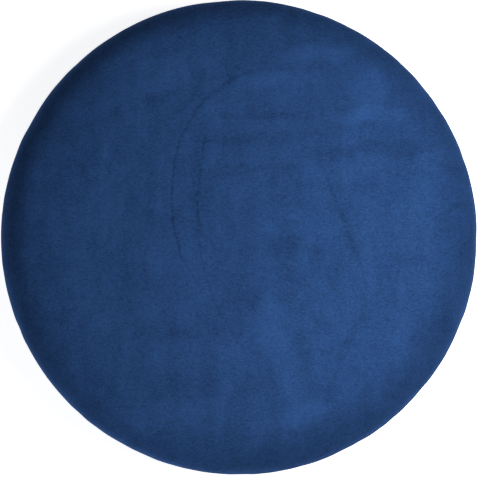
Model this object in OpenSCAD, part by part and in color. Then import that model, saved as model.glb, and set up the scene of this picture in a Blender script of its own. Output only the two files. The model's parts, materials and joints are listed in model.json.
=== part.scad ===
// Round seat cushion: a zipped velvet cover over a wadded foam pad.
// Millimetres. +Z is up, the origin is at the centre of the base, and the zip is at the back (+Y).

/* [Cushion] */
// Diameter over the rolled edge
cushion_d = 400; // [250:5:600]
// Height from the base to the middle of the crown
cushion_h = 80; // [64:1:130]
// Rise of the crown above the top of the rolled edge
crown_rise = 10; // [5:1:20]
// Height of the seam between the top panel and the side band
seam_z = 27; // [25:0.5:36]
// How far the side band lies inside the rolled edge
band_recess = 4.2; // [4.1:0.1:7]
// Radius where the side band turns under
foot_r = 6; // [4:0.5:8]
// Flat part of the turned-under band, from the foot radius to the base seam
hem_w = 3; // [2:0.5:12]

/* [Cover] */
// Thickness of the velvet with its backing
velvet_t = 1.6; // [1:0.1:2.5]
// Height and width of the room that a seam's thread takes
seam_gap = 0.8; // [0.6:0.1:1.2]
// Depth of a seam's thread below the velvet's surface
seam_sink = 0.15; // [0.1:0.05:0.3]
// Thickness of a row of stitches
stitch_t = 0.3; // [0.2:0.05:0.5]
// Width of a row of stitches
stitch_w = 0.5; // [0.4:0.1:0.8]
// Width of the blank care label inside the cover
label_w = 26; // [15:1:40]
// Height of the care label
label_h = 15; // [10:1:17]
// Thickness of the care label
label_t = 0.3; // [0.2:0.05:0.5]

/* [Pad] */
// Thickness of the inner liner's cloth
liner_t = 0.5; // [0.3:0.1:1]
// Thickness of the wadding on every side
wadding_t = 7; // [4:0.5:10]
// Thickness of the firm foam under the soft foam
core_h = 30; // [15:1:36]
// Radius of the pad's lower edge
pad_foot_r = 6; // [4:0.5:8]

/* [Zip] */
// Angle of the side band that opens
zip_span = 164; // [60:2:180]
// Half the gap between the two velvet strips
zip_slot = 4.8; // [4.6:0.1:6]
// Width of one zip tape, from the middle of the zip
tape_w = 9; // [7:0.5:9]
// Thickness of a zip tape
tape_t = 0.6; // [0.4:0.1:0.8]
// Half the width of the closed coil
coil_w = 2.3; // [2:0.1:2.6]
// Thickness of the coil
coil_t = 2; // [1.5:0.1:2.2]
// Half the gap between the two tapes and the two coils
chain_gap = 0.7; // [0.65:0.05:0.9]
// Length of tape that runs under the plain band at each end
tape_tail = 10; // [5:1:20]
// Distance from the end of the slot to the first stop
stop_inset = 5.5; // [3:0.5:12]
// Length of a top stop along the zip
top_stop_l = 2.4; // [1.5:0.1:4]
// Length of the bottom stop along the zip
bottom_stop_l = 4; // [2:0.5:6]
// Height of a stop above the tape
stop_t = 2.2; // [1.8:0.1:2.3]
// Distance from the zip's middle to its stitching
stitch_offset = 6.3; // [5.6:0.1:8]

/* [Slider and pull] */
// Length of the slider along the zip
slider_l = 11; // [9:0.5:13]
// Half the slider's width
slider_w = 4.3; // [4:0.1:4.4]
// Thickness of the slider's outer plate
plate_t = 1; // [0.8:0.1:1]
// Thickness of the slider's inner plate
inner_plate_t = 0.9; // [0.7:0.1:1]
// Width of the flanges that hold the coil in
flange_w = 1.2; // [0.8:0.1:1.3]
// Thickness of the post between the two plates
post_w = 0.8; // [0.6:0.1:0.8]
// Length of the post along the zip
post_l = 2.4; // [1.5:0.1:3]
// Radius of the pull's crossbar
bar_r = 0.6; // [0.5:0.05:0.65]
// Width of the bail over the crossbar
bail_w = 2; // [1.6:0.1:2.2]
// Length of the bail along the zip
bail_l = 7; // [6:0.5:8]
// Thickness of the bail's strap
bail_t = 0.6; // [0.5:0.05:0.6]
// Length of each bail leg along the zip
bail_leg = 0.8; // [0.6:0.1:1]
// Length of the pull from its crossbar
pull_l = 20; // [12:0.5:22]
// Thickness of the pull
pull_t = 1; // [0.8:0.1:1.1]
// Width of the pull at its crossbar
pull_w = 5; // [4.5:0.1:6]
// Radius of the pull's round end
pull_end_r = 3.5; // [3:0.1:4.2]
// Radius of the hole in the pull's round end
pull_hole_r = 1.6; // [1:0.1:2]

/* [Clearances] */
// Gap between the slider and the coil or tape that it runs over
slide_gap = 0.35; // [0.3:0.05:0.5]
// Gap between the slider and a stop at either end of its travel
end_gap = 1; // [0.5:0.1:2]
// Gap round the pull's crossbar
bar_gap = 0.25; // [0.2:0.01:0.3]
// Gap between the bail and the sides of the pull's slot
slot_gap = 0.3; // [0.25:0.05:0.4]
// Gap between the slider and the pad behind it
pad_gap = 0.6; // [0.5:0.1:1]

/* [Hidden] */
$fn = 180;

VELVET = [0.13, 0.25, 0.44];
VELVET_DARK = [0.10, 0.20, 0.36];
THREAD = [0.08, 0.15, 0.28];
ANTISLIP = [0.12, 0.13, 0.17];
TAPE = [0.09, 0.15, 0.27];
COIL = [0.11, 0.18, 0.31];
METAL = [0.70, 0.70, 0.72];
CALICO = [0.90, 0.89, 0.84];
FIBRE = [0.95, 0.95, 0.96];
SOFT_FOAM = [0.93, 0.90, 0.72];
FIRM_FOAM = [0.74, 0.83, 0.88];

// The cushion's outline: a crown, a rolled edge that runs on under itself, a plain band and a foot.
outer_r = cushion_d / 2;
band_r = outer_r - band_recess;
roll_h = cushion_h - crown_rise - seam_z;
edge_r = roll_h + band_recess - sqrt(2 * roll_h * band_recess);
edge_cr = outer_r - edge_r;
edge_cz = cushion_h - crown_rise - edge_r;
crown_r = (pow(edge_cr, 2) + pow(cushion_h - edge_cz, 2) - pow(edge_r, 2)) / (2 * crown_rise);
crown_cz = cushion_h - crown_r;
crown_end = atan2(edge_cz - crown_cz, edge_cr);
base_r = band_r - foot_r - hem_w;
CROWN_STEPS = 16;
EDGE_STEP = 5;
FOOT_STEPS = 8;

// Radii of the zip, from the pad outwards
band_in = band_r - velvet_t;
tape_in = band_in - tape_t;
coil_out = band_in + coil_t;
plate_in = coil_out + slide_gap;
plate_out = plate_in + plate_t;
inner_plate_out = tape_in - slide_gap;
inner_plate_in = inner_plate_out - inner_plate_t;
pad_r = inner_plate_in - pad_gap;
pivot_r = plate_out + bar_gap + bar_r;
bail_in = pivot_r + bar_r + bar_gap;

// Places of the zip, as a height and as angles about +Z from +X
function arc_deg(length) = length / band_r * 180 / PI;
zip_z = (foot_r + seam_z) / 2;
zip_from = 90 - zip_span / 2;
zip_to = 90 + zip_span / 2;
top_stop_from = zip_from + arc_deg(stop_inset);
chain_from = top_stop_from + arc_deg(top_stop_l);
chain_to = zip_to - arc_deg(stop_inset + bottom_stop_l);
slider_at = chain_from + arc_deg(end_gap + slider_l / 2);
slider_end = chain_to - arc_deg(end_gap + slider_l / 2);
slider_travel = slider_end - slider_at;
echo(slider_at = slider_at, slider_travel = slider_travel, pivot_r = pivot_r, zip_z = zip_z);

// Layers of the pad, as depths below the cushion's surface
liner_in = velvet_t + liner_t;
foam_in = liner_in + wadding_t;
foam_split_z = foam_in + core_h;
foam_split = edge_at_z(foam_in, foam_split_z);
foam_side_r = pad_r - liner_t - wadding_t;

// Half section of the crown at a depth below the surface, from the axis outwards
function crown(depth) = [
    for (k = [0 : CROWN_STEPS - 1])
        let (a = 90 + (crown_end - 90) * k / CROWN_STEPS)
        [(crown_r - depth) * cos(a), crown_cz + (crown_r - depth) * sin(a)]
];

// Angles of the rolled edge's corners between two angles, downwards. They are whole steps, and
// under the wadding also the joint of the two foams, so that neighbours share their corners.
function has_joint(depth, whole) = depth == foam_in && whole == floor(foam_split / EDGE_STEP);
function edge_angles(depth, from, to) = concat(
    [from],
    [for (whole = [floor(from / EDGE_STEP) : -1 : floor(to / EDGE_STEP)])
        for (a = [if (has_joint(depth, whole)) foam_split, whole * EDGE_STEP])
            if (a < from && a > to) a],
    [to]
);

// Half section of the rolled edge at a depth below the surface, between two angles
function edge(depth, from, to) = [
    for (a = edge_angles(depth, from, to))
        [edge_cr + (edge_r - depth) * cos(a), edge_cz + (edge_r - depth) * sin(a)]
];

// Angle of the rolled edge, at a depth, where it is at a height or comes back in to a radius
function edge_at_z(depth, z) = asin((z - edge_cz) / (edge_r - depth));
function edge_at_r(depth, r) = -acos((r - edge_cr) / (edge_r - depth));

// Half section of a foot of radius fr, turning from a side at radius r to a base at height z
function foot(r, z, fr) = [
    for (k = [0 : FOOT_STEPS])
        let (a = -90 * k / FOOT_STEPS)
        [r - fr + fr * cos(a), z + fr + fr * sin(a)]
];

function backwards(points) = [for (k = [len(points) - 1 : -1 : 0]) points[k]];

// Half section of the turned-under band, from the base seam up to a height
function band_section(top) = concat(
    [[band_r, top]],
    foot(band_r, 0, foot_r),
    [[base_r + seam_gap / 2, 0], [base_r + seam_gap / 2, velvet_t]],
    backwards(foot(band_in, velvet_t, foot_r - velvet_t)),
    [[band_in, top]]
);

// A ring or part of one, with a plain rectangular section
module ring(r_in, r_out, z_low, z_high, from = 0, to = 360) {
    rotate_extrude(angle = to - from, start = from)
        translate([r_in, z_low])
            square([r_out - r_in, z_high - z_low]);
}

// Local frame of the slider: x away from the axis, y along the zip, z up
module at_slider() {
    rotate([0, 0, slider_at])
        translate([0, 0, zip_z])
            children();
}

// A flat plate drawn in the local y and z, with its inner face at radius x
module plate(x, thickness) {
    translate([x, 0, 0])
        rotate([90, 0, 90])
            linear_extrude(thickness)
                children();
}

module velvet_top_panel() {
    foot_z = seam_z + seam_gap / 2;
    color(VELVET)
        rotate_extrude()
            polygon(concat(
                crown(0), edge(0, crown_end, edge_at_z(0, foot_z)),
                backwards(edge(velvet_t, crown_end, edge_at_z(velvet_t, foot_z))), backwards(crown(velvet_t))
            ));
}

module velvet_front_band() {
    color(VELVET)
        rotate_extrude(angle = 360 - zip_span, start = zip_to)
            polygon(band_section(seam_z - seam_gap / 2));
}

module velvet_zip_strip_upper() {
    color(VELVET_DARK)
        ring(band_in, band_r, zip_z + zip_slot, seam_z - seam_gap / 2, zip_from, zip_to);
}

module velvet_zip_strip_lower() {
    color(VELVET_DARK)
        rotate_extrude(angle = zip_span, start = zip_from)
            polygon(band_section(zip_z - zip_slot));
}

module base_panel() {
    color(ANTISLIP)
        cylinder(h = velvet_t, r = base_r - seam_gap / 2);
}

module top_seam_thread() {
    color(THREAD)
        ring(band_in + stitch_t, band_r - seam_sink, seam_z - seam_gap / 2, seam_z + seam_gap / 2);
}

module base_seam_thread() {
    color(THREAD)
        ring(base_r - seam_gap / 2, base_r + seam_gap / 2, seam_sink, velvet_t - seam_sink);
}

module zip_stitching(side) {
    middle = zip_z + side * stitch_offset;
    color(THREAD)
        ring(band_r, band_r + stitch_t, middle - stitch_w / 2, middle + stitch_w / 2, zip_from, zip_to);
}

module zip_stitching_upper() {
    zip_stitching(1);
}

module zip_stitching_lower() {
    zip_stitching(-1);
}

module zip_tape_upper() {
    color(TAPE)
        ring(tape_in, band_in, zip_z + chain_gap, zip_z + tape_w,
            zip_from - arc_deg(tape_tail), zip_to + arc_deg(tape_tail));
}

module zip_tape_lower() {
    color(TAPE)
        ring(tape_in, band_in, zip_z - tape_w, zip_z - chain_gap,
            zip_from - arc_deg(tape_tail), zip_to + arc_deg(tape_tail));
}

module zip_coil_upper() {
    color(COIL)
        ring(band_in, coil_out, zip_z + chain_gap, zip_z + coil_w, chain_from, chain_to);
}

module zip_coil_lower() {
    color(COIL)
        ring(band_in, coil_out, zip_z - coil_w, zip_z - chain_gap, chain_from, chain_to);
}

module zip_top_stops() {
    color(METAL) {
        ring(band_in, band_in + stop_t, zip_z + chain_gap, zip_z + coil_w, top_stop_from, chain_from);
        ring(band_in, band_in + stop_t, zip_z - coil_w, zip_z - chain_gap, top_stop_from, chain_from);
    }
}

module zip_bottom_stop() {
    color(METAL)
        ring(band_in, band_in + stop_t, zip_z - coil_w, zip_z + coil_w,
            chain_to, chain_to + arc_deg(bottom_stop_l));
}

// Plan of both slider plates: the wide end, which parts the chain, leads towards the top stops
module slider_plan() {
    polygon([
        [-slider_l / 2, -slider_w * 0.7], [-slider_l * 0.38, -slider_w],
        [slider_l * 0.2, -slider_w], [slider_l / 2, -slider_w * 0.8],
        [slider_l / 2, slider_w * 0.8], [slider_l * 0.2, slider_w],
        [-slider_l * 0.38, slider_w], [-slider_l / 2, slider_w * 0.7]
    ]);
}

module zip_slider() {
    flange_in = band_in + slide_gap;
    flange_l = slider_l * 0.5;
    color(METAL)
        at_slider()
            union() {
                plate(plate_in, plate_t)
                    slider_plan();
                plate(inner_plate_in, inner_plate_t)
                    slider_plan();
                for (side = [-1, 1])
                    plate(flange_in, plate_in - flange_in + plate_t / 2)
                        translate([-flange_l * 0.7, side * (slider_w - flange_w / 2) - flange_w / 2])
                            square([flange_l, flange_w]);
                plate(inner_plate_out - inner_plate_t / 2, plate_in - inner_plate_out + inner_plate_t)
                    translate([-slider_l / 2 + post_w, -post_w / 2])
                        square([post_l, post_w]);
                for (end = [-1, 1])
                    plate(plate_out - plate_t / 2, bail_in - plate_out + plate_t)
                        translate([end * (bail_l - bail_leg) / 2 - bail_leg / 2, -bail_w / 2])
                            square([bail_leg, bail_w]);
                plate(bail_in, bail_t)
                    translate([-bail_l / 2, -bail_w / 2])
                        square([bail_l, bail_w]);
            }
}

module zip_pull_tab() {
    slot_w = bail_w + 2 * slot_gap - 0.1;
    slot_end = norm([bail_l / 2, bail_in + bail_t - pivot_r]) + slot_gap;
    end_at = pull_l - pull_end_r;
    color(METAL)
        at_slider()
            union() {
                translate([pivot_r, 0, -pull_w / 2])
                    cylinder(h = pull_w, r = bar_r);
                plate(pivot_r - pull_t / 2, pull_t)
                    difference() {
                        union() {
                            polygon([
                                [0, -pull_w / 2], [end_at, -pull_end_r * 0.96],
                                [end_at, pull_end_r * 0.96], [0, pull_w / 2]
                            ]);
                            translate([end_at, 0])
                                circle(r = pull_end_r);
                        }
                        translate([-1, -slot_w / 2])
                            square([slot_end + 1, slot_w]);
                        translate([end_at, 0])
                            circle(r = pull_hole_r);
                    }
            }
}

module care_label() {
    color(CALICO)
        ring(band_in - label_t, band_in, zip_z - label_h / 2, zip_z + label_h / 2,
            270 - arc_deg(label_w) / 2, 270 + arc_deg(label_w) / 2);
}

module liner_cap() {
    side_in = pad_r - liner_t;
    color(CALICO)
        rotate_extrude()
            polygon(concat(
                crown(velvet_t), edge(velvet_t, crown_end, edge_at_r(velvet_t, pad_r)),
                foot(pad_r, velvet_t, pad_foot_r),
                backwards(foot(side_in, liner_in, pad_foot_r - liner_t)),
                backwards(edge(liner_in, crown_end, edge_at_r(liner_in, side_in))), backwards(crown(liner_in))
            ));
}

module liner_base() {
    color(CALICO)
        translate([0, 0, velvet_t])
            cylinder(h = liner_t, r = pad_r - pad_foot_r);
}

module top_wadding() {
    color(FIBRE)
        rotate_extrude()
            polygon(concat(
                crown(liner_in), edge(liner_in, crown_end, 0),
                backwards(edge(foam_in, crown_end, 0)), backwards(crown(foam_in))
            ));
}

module side_wadding() {
    side_out = pad_r - liner_t;
    color(FIBRE)
        rotate_extrude()
            polygon(concat(
                edge(liner_in, 0, edge_at_r(liner_in, side_out)),
                foot(side_out, liner_in, pad_foot_r - liner_t), [[foam_side_r, liner_in]],
                backwards(edge(foam_in, 0, edge_at_r(foam_in, foam_side_r)))
            ));
}

module base_wadding() {
    color(FIBRE)
        translate([0, 0, liner_in])
            cylinder(h = wadding_t, r = foam_side_r);
}

module soft_foam_layer() {
    color(SOFT_FOAM)
        rotate_extrude()
            polygon(concat(
                crown(foam_in), edge(foam_in, crown_end, edge_at_z(foam_in, foam_split_z)),
                [[0, foam_split_z]]
            ));
}

module firm_foam_core() {
    color(FIRM_FOAM)
        rotate_extrude()
            polygon(concat(
                edge(foam_in, edge_at_z(foam_in, foam_split_z), edge_at_r(foam_in, foam_side_r)),
                [[foam_side_r, foam_in], [0, foam_in], [0, foam_split_z]]
            ));
}

velvet_top_panel();
velvet_front_band();
velvet_zip_strip_upper();
velvet_zip_strip_lower();
base_panel();
top_seam_thread();
base_seam_thread();
zip_stitching_upper();
zip_stitching_lower();
zip_tape_upper();
zip_tape_lower();
zip_coil_upper();
zip_coil_lower();
zip_top_stops();
zip_bottom_stop();
zip_slider();
zip_pull_tab();
care_label();
liner_cap();
liner_base();
top_wadding();
side_wadding();
base_wadding();
soft_foam_layer();
firm_foam_core();
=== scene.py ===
"""Looks of a round velvet seat cushion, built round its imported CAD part. Metres, +Z up, the zip at +Y."""

import json
import math

import bmesh
import bpy
import numpy as np
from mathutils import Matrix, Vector


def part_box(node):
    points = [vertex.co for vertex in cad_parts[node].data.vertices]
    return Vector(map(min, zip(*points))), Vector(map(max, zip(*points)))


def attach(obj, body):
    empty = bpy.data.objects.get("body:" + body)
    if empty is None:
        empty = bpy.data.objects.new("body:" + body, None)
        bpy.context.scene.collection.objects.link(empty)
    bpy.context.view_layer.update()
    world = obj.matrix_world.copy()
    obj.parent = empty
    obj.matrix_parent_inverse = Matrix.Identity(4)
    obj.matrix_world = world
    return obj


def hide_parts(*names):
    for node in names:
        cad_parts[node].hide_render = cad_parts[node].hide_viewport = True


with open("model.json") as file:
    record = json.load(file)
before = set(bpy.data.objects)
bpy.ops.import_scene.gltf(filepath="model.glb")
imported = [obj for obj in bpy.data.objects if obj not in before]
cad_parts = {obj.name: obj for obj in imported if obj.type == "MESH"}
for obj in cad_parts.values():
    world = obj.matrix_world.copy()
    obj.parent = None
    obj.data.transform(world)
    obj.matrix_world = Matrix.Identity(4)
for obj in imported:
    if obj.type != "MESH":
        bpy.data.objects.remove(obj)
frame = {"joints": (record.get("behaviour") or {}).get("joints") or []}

scene = bpy.context.scene
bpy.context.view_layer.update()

MM = 0.001
TAU = 2 * math.pi

# ---------------- sizes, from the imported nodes


def low(node):
    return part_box(node)[0]


def high(node):
    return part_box(node)[1]


OUTER_R = round(high("velvet_top_panel").x, 3)
CUSHION_H = round(high("velvet_top_panel").z, 4)
BAND_R = round(-low("velvet_front_band").y, 4)
VELVET_T = round(high("base_panel").z, 4)
SEAM_Z = (low("top_seam_thread").z + high("top_seam_thread").z) / 2
SEAM_GAP = high("top_seam_thread").z - low("top_seam_thread").z
BASE_R = high("base_panel").x + SEAM_GAP / 2
CROWN_RISE = 10 * MM
FOOT_R = 6 * MM
ROLL_H = CUSHION_H - CROWN_RISE - SEAM_Z
RECESS = OUTER_R - BAND_R
EDGE_R = ROLL_H + RECESS - math.sqrt(2 * ROLL_H * RECESS)
EDGE_C = (OUTER_R - EDGE_R, CUSHION_H - CROWN_RISE - EDGE_R)
CROWN_R = (EDGE_C[0] ** 2 + (CUSHION_H - EDGE_C[1]) ** 2 - EDGE_R**2) / (2 * CROWN_RISE)
CROWN_C = (0.0, CUSHION_H - CROWN_R)
CROWN_END = math.atan2(EDGE_C[1] - CROWN_C[1], EDGE_C[0])

LINER_T = high("liner_base").z - low("liner_base").z
WADDING_T = high("base_wadding").z - low("base_wadding").z
FOAM_SIDE_R = high("base_wadding").x
PAD_R = FOAM_SIDE_R + WADDING_T + LINER_T
PAD_FOOT_R = 6 * MM
LINER_IN = VELVET_T + LINER_T
FOAM_IN = LINER_IN + WADDING_T
FOAM_SPLIT_Z = high("firm_foam_core").z

JOINTS = {j["name"]: j for j in frame["joints"]}
PIVOT = JOINTS["pull_flip"]["pos_m"]
SLIDER_AT = math.atan2(PIVOT[1], PIVOT[0])
PIVOT_R = math.hypot(PIVOT[0], PIVOT[1])
ZIP_Z = PIVOT[2]
BAND_IN = BAND_R - VELVET_T
ZIP_HALF = math.radians(82)
ZIP_FROM, ZIP_TO = math.pi / 2 - ZIP_HALF, math.pi / 2 + ZIP_HALF
SLOT = ZIP_Z - high("velvet_zip_strip_lower").z

# ---------------- small maths


def arc(centre, radius, start, end, steps):
    """Points (r, z) on an arc of the half section."""
    a = np.linspace(start, end, steps + 1)
    return np.c_[centre[0] + radius * np.cos(a), centre[1] + radius * np.sin(a)]


def crown(depth, steps=30):
    return arc(CROWN_C, CROWN_R - depth, math.pi / 2, CROWN_END, steps)


def edge(depth, start, end, steps=24):
    return arc(EDGE_C, EDGE_R - depth, start, end, steps)


def edge_at_z(depth, z):
    return math.asin((z - EDGE_C[1]) / (EDGE_R - depth))


def edge_at_r(depth, r):
    return -math.acos((r - EDGE_C[0]) / (EDGE_R - depth))


def foot(r, z, radius, steps=8):
    return arc((r - radius, z + radius), radius, 0, -math.pi / 2, steps)


def upright(r, z):
    """Points at one radius and these heights."""
    return np.c_[np.full_like(z, r), z]


def across(r, z, last=1):
    """Points from the axis out to a radius, or to this share of it, at one height."""
    return [(x * r, z) for x in (0, 0.25, 0.5, 0.75, last)]


def join(*rows):
    """Rows of points in one, without the repeats where they meet."""
    out = []
    for row in rows:
        for p in row:
            if not out or math.hypot(p[0] - out[-1][0], p[1] - out[-1][1]) > 1e-6:
                out.append((float(p[0]), float(p[1])))
    return np.array(out)


def smooth(x, start, end):
    t = np.clip((x - start) / (end - start), 0, 1)
    return t * t * (3 - 2 * t)


def ripple(points, wavelength, seed, count=24):
    """Smooth irregular waves of that rough length, with a spread of 1, the same each run."""
    rng = np.random.default_rng(seed)
    way = rng.normal(size=(count, points.shape[1]))
    way /= np.linalg.norm(way, axis=1)[:, None]
    k = TAU / wavelength * rng.uniform(0.6, 1.4, count)
    phase = rng.uniform(0, TAU, count)
    return np.cos(points @ (way * k[:, None]).T + phase).sum(1) * math.sqrt(2 / count)


def polar(points):
    return np.hypot(points[:, 0], points[:, 1]), np.arctan2(points[:, 1], points[:, 0])


# ---------------- meshes


def new_piece(name, verts, faces, materials, body="cushion", indexes=None, levels=0):
    mesh = bpy.data.meshes.new(name)
    mesh.from_pydata(np.asarray(verts, float).tolist(), [], faces)
    mesh.validate()
    mesh.polygons.foreach_set("use_smooth", np.ones(len(mesh.polygons), bool))
    for m in materials if isinstance(materials, (list, tuple)) else [materials]:
        mesh.materials.append(m)
    if indexes is not None:
        mesh.polygons.foreach_set("material_index", np.asarray(indexes, np.int32))
    fix = bmesh.new()
    fix.from_mesh(mesh)
    bmesh.ops.recalc_face_normals(fix, faces=fix.faces)
    fix.to_mesh(mesh)
    fix.free()
    mesh.update()
    piece = bpy.data.objects.new(name, mesh)
    scene.collection.objects.link(piece)
    if levels:
        sub = piece.modifiers.new("subdivision", "SUBSURF")
        sub.levels = sub.render_levels = levels
    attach(piece, body)
    return piece


def stands_for(piece, slot, *nodes):
    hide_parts(*nodes)


def disc_grid(core, radii):
    """A flat disc of quads: a square core that rounds off into rings at these radii.

    Gives its points, its faces and the numbers of the 4 * core points of its last ring.
    """
    u = np.tan(np.linspace(-1, 1, core + 1) * math.pi / 4)
    x, y = [a.ravel() for a in np.meshgrid(u, u, indexing="ij")]
    m = np.maximum(abs(x), abs(y))
    squeeze = m / np.maximum(np.hypot(x, y), 1e-9)
    keep = 1 + (squeeze - 1) * 0.5 * m
    points = [np.c_[x * keep, y * keep] * radii[0]]
    n = core + 1
    ring = (
        [i * n for i in range(core)]
        + [core * n + j for j in range(core)]
        + [i * n + core for i in range(core, 0, -1)]
        + list(range(core, 0, -1))
    )
    faces = [
        (i * n + j, (i + 1) * n + j, (i + 1) * n + j + 1, i * n + j + 1)
        for i in range(core)
        for j in range(core)
    ]
    edge_xy = points[0][ring]
    angle = np.arctan2(edge_xy[:, 1], edge_xy[:, 0])
    extra = np.hypot(edge_xy[:, 0], edge_xy[:, 1]) - radii[0]
    last, total, count = ring, n * n, len(ring)
    settle = max(2, len(radii) // 2)
    for k, r in enumerate(radii[1:], 1):
        here = r + extra * max(0.0, 1 - k / settle) ** 2
        points.append(np.c_[here * np.cos(angle), here * np.sin(angle)])
        new = list(range(total, total + count))
        faces += [(last[i], new[i], new[(i + 1) % count], last[(i + 1) % count]) for i in range(count)]
        last, total = new, total + count
    return np.vstack(points), faces, last


def two_layered(first, second, faces, rim, thick, normal, way):
    """A closed cloth: two layers of one grid, with half rounds between their rims.

    normal points from the middle of each rim point to the first layer, and way out of the rim.
    """
    n, rim = len(first), np.array(rim)
    middle = (first[rim] + second[rim]) / 2
    turns = np.linspace(0, math.pi, 5)[1:-1]
    rounds = [middle + thick / 2 * (normal * math.cos(t) + way * math.sin(t)) for t in turns]
    faces = faces + [tuple(i + n for i in f[::-1]) for f in faces]
    rows = [rim] + [2 * n + k * len(rim) + np.arange(len(rim)) for k in range(len(turns))] + [rim + n]
    for a, b in zip(rows, rows[1:]):
        faces += [tuple(map(int, f)) for f in zip(a, b, np.roll(b, -1), np.roll(a, -1))]
    return np.vstack([first, second] + rounds), faces


def half_round(a, b, bulge, steps=4):
    """Points strictly between a and b on the half circle that bulges the way bulge points."""
    a, b = np.array(a, float), np.array(b, float)
    middle, radius = (a + b) / 2, np.linalg.norm(b - a) / 2
    side = (a - b) / (2 * radius)
    return [
        middle + radius * (side * math.cos(t) + np.array(bulge) * math.sin(t))
        for t in np.linspace(0, math.pi, steps + 1)[1:-1]
    ]


def shell(name, outer, inner, angles, material, shape=None):
    """A closed shell swept about Z: two rows of (r, z) of one length, joined by half-round edges."""
    loop = abs(angles[-1] - angles[0] - TAU) < 1e-6
    if loop:
        angles = angles[:-1]
    n = len(outer)

    def edge_way(row, end):
        d = row[end] - row[end + (1 if end == 0 else -1)]
        return d / np.linalg.norm(d)

    end_arc = half_round(outer[-1], inner[-1], edge_way(outer, -1))
    start_arc = half_round(inner[0], outer[0], edge_way(outer, 0))
    section = np.vstack([outer, end_arc, inner[::-1], start_arc])
    m = len(section)
    verts = np.vstack(
        [np.c_[section[:, 0] * math.cos(a), section[:, 0] * math.sin(a), section[:, 1]] for a in angles]
    )
    count = len(angles)
    faces = []
    for i in range(count if loop else count - 1):
        p, q = i * m, ((i + 1) % count) * m
        faces += [(p + j, p + (j + 1) % m, q + (j + 1) % m, q + j) for j in range(m)]
    if not loop:
        e = len(end_arc)
        for p in (0, (count - 1) * m):
            for j in range(n - 1):
                i_in = n + e + (n - 1 - j)
                faces.append((p + j, p + j + 1, p + i_in - 1, p + i_in))
            faces.append(tuple(p + n - 1 + k for k in range(e + 2)))
            faces.append(tuple(p + n + e + n - 1 + k for k in range(len(start_arc) + 1)) + (p,))
    if shape is not None:
        verts = shape(verts)
    return new_piece(name, verts, faces, material, levels=1)


def solid_of_revolution(name, section, material, shape, slices=144):
    """A closed solid from a closed half section. Points on the axis become one vertex each."""
    section = [(float(r), float(z)) for r, z in section]
    verts, index = [], []
    for r, z in section:
        index.append(len(verts))
        if r < 1e-6:
            verts.append((0, 0, z))
        else:
            verts += [
                (r * math.cos(TAU * i / slices), r * math.sin(TAU * i / slices), z)
                for i in range(slices)
            ]
    faces = []
    for j in range(len(section)):
        k = (j + 1) % len(section)
        on_j, on_k = section[j][0] < 1e-6, section[k][0] < 1e-6
        if on_j and on_k:
            continue
        for i in range(slices):
            h = (i + 1) % slices
            a = [index[j]] if on_j else [index[j] + i, index[j] + h]
            b = [index[k]] if on_k else [index[k] + h, index[k] + i]
            faces.append(tuple(a + b))
    return new_piece(name, shape(np.array(verts)), faces, material)


def tube_faces(rings, sides, first=0):
    """Faces of a closed tube of so many rings of points, from this vertex on."""
    faces = []
    last = first + (rings - 1) * sides
    for q in range(first, last, sides):
        faces += [
            (q + j, q + (j + 1) % sides, q + sides + (j + 1) % sides, q + sides + j) for j in range(sides)
        ]
    return faces + [tuple(range(first, first + sides))[::-1], tuple(range(last, last + sides))]


def tubes(name, paths, radius, ups, material, sides=6):
    """Closed tubes along many paths of one length (K, P, 3). ups gives each point's outward direction."""
    paths = np.asarray(paths, float)
    k, p, _ = paths.shape
    tangent = np.gradient(paths, axis=1)
    tangent /= np.linalg.norm(tangent, axis=2)[..., None]
    side = np.cross(tangent, ups)
    side /= np.linalg.norm(side, axis=2)[..., None]
    up = np.cross(side, tangent)
    a = np.arange(sides) * TAU / sides
    rings = paths[:, :, None, :] + radius * (
        side[:, :, None, :] * np.cos(a)[None, None, :, None]
        + up[:, :, None, :] * np.sin(a)[None, None, :, None]
    )
    faces = []
    for t in range(k):
        faces += tube_faces(p, sides, t * p * sides)
    return new_piece(name, rings.reshape(-1, 3), faces, material)


def around(radius, angle, z):
    """Points at a radius, an angle about Z and a height."""
    radius, angle, z = np.broadcast_arrays(radius, angle, z)
    return np.stack([radius * np.cos(angle), radius * np.sin(angle), z], axis=-1)


def outward(angle):
    return np.stack([np.cos(angle), np.sin(angle), np.zeros_like(angle)], axis=-1)


# ---------------- materials


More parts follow.
